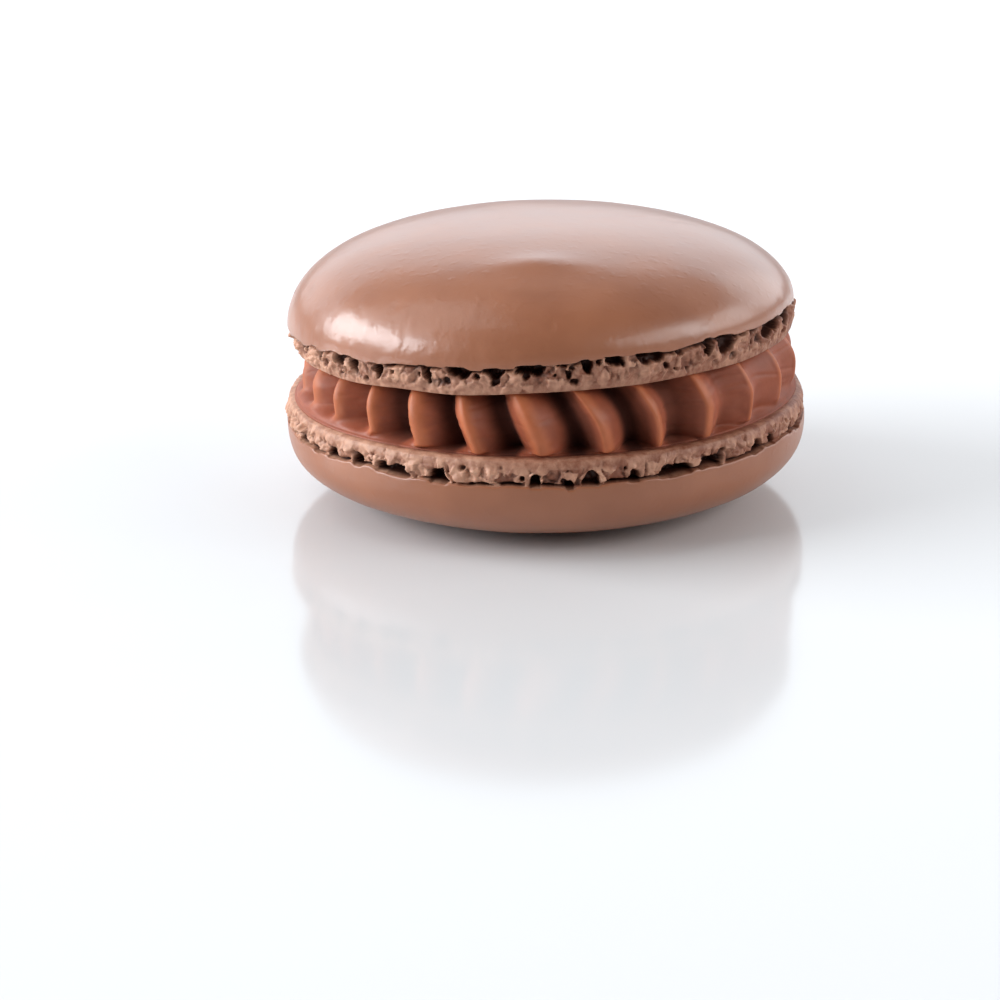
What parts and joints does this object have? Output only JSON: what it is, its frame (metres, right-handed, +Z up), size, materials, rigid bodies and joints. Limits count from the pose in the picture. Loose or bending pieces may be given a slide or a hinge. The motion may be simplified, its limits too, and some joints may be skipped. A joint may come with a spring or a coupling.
{
  "type": "macaron",
  "caption": "Chocolate macaron: two smooth domed meringue shells with craggy feet, held together by a fluted ring of piped ganache.",
  "frame": {"origin": "middle of the flat spot under the bottom shell, on the surface that the macaron rests on", "axes": "+Z up through bottom shell, filling and top shell; -Y towards the front, which is the side that the picture shows; +X to the right of that view"},
  "size_m": [0.0492, 0.0494, 0.0259],
  "materials": {
    "meringue": "satin cocoa-brown crust over a matt, paler crumb",
    "ganache": "soft satin chocolate cream with piped ridges"
  },
  "bodies": {
    "root": {"top_shell": "meringue", "filling": "ganache", "bottom_shell": "meringue"}
  },
  "joints": []
}
